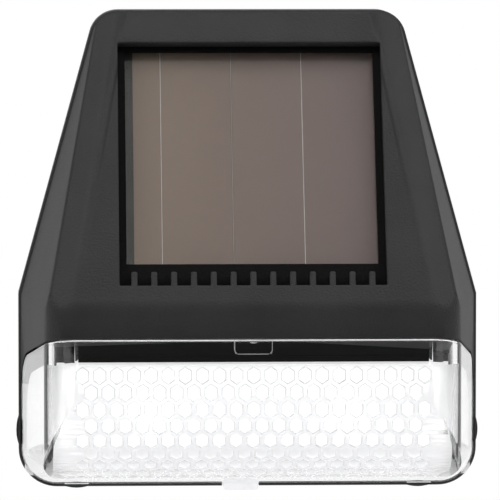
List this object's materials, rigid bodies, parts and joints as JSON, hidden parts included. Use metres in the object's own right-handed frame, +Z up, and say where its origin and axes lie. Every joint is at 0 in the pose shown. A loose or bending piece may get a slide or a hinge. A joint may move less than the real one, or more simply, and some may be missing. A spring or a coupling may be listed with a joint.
{
  "type": "solar wall light",
  "caption": "Wedge-shaped solar wall light: sloped panel window over a clear prismatic lens, with keyholes, a battery door and an on/off switch in the back.",
  "frame": {"origin": "on the wall face, midway between the centres of the two keyholes' round holes", "axes": "+Z up, +Y into the wall, +X to the right for a viewer who faces the light"},
  "size_m": [0.096, 0.0417, 0.0994],
  "materials": {
    "housing_grey": "fine moulded texture",
    "cover_grey": "fine moulded texture",
    "lens_clear": "clear polished moulding",
    "reflector_white": "white satin moulding",
    "gasket_black": "closed-cell foam",
    "panel_glass": "float glass with ground edges",
    "cell_brown": "thin film",
    "lead_red": "insulation",
    "lead_black": "insulation",
    "led_clear": "clear epoxy",
    "tinned_wire": "tinned",
    "board_white": "white solder mask",
    "board_green": "green solder mask",
    "chip_black": "moulded epoxy",
    "coil_green": "lacquer",
    "switch_metal": "pressed tinned can",
    "knob_black": "moulded",
    "battery_wrap": "plain shrink sleeve",
    "nickel": "nickel-plated",
    "spring_steel": "nickel-plated wire",
    "screw_steel": "zinc-plated"
  },
  "bodies": {
    "light": {"front_housing": "housing_grey", "back_cover": "cover_grey", "lens": "lens_clear", "reflector": "reflector_white", "panel_gasket": "gasket_black", "solar_glass": "panel_glass", "solar_cells": "cell_brown", "panel_lead_red": "lead_red", "panel_lead_black": "lead_black", "led_lamps": "led_clear", "led_pins": "tinned_wire", "led_board": "board_white", "led_lead_red": "lead_red", "led_lead_black": "lead_black", "circuit_board": "board_green", "driver_chip": "chip_black", "chip_legs": "tinned_wire", "inductor": "coil_green", "inductor_legs": "tinned_wire", "switch_body": "switch_metal", "battery_can": "battery_wrap", "battery_terminal": "nickel", "contact_spring": "spring_steel", "spring_plate": "nickel", "contact_plate": "nickel", "battery_lead_red": "lead_red", "battery_lead_black": "lead_black", "cover_screws": "screw_steel", "board_screws": "screw_steel"},
    "knob": {"switch_knob": "knob_black"},
    "door": {"battery_door": "cover_grey", "door_screws": "screw_steel"}
  },
  "joints": [
    {"name": "knob_slide", "type": "slide", "parent": "light", "child": "knob", "axis": [1, 0, 0], "range_m": [0, 0.002]},
    {"name": "door_lift", "type": "slide", "parent": "light", "child": "door", "axis": [0, 1, 0], "range_m": [0, 0.025]}
  ]
}
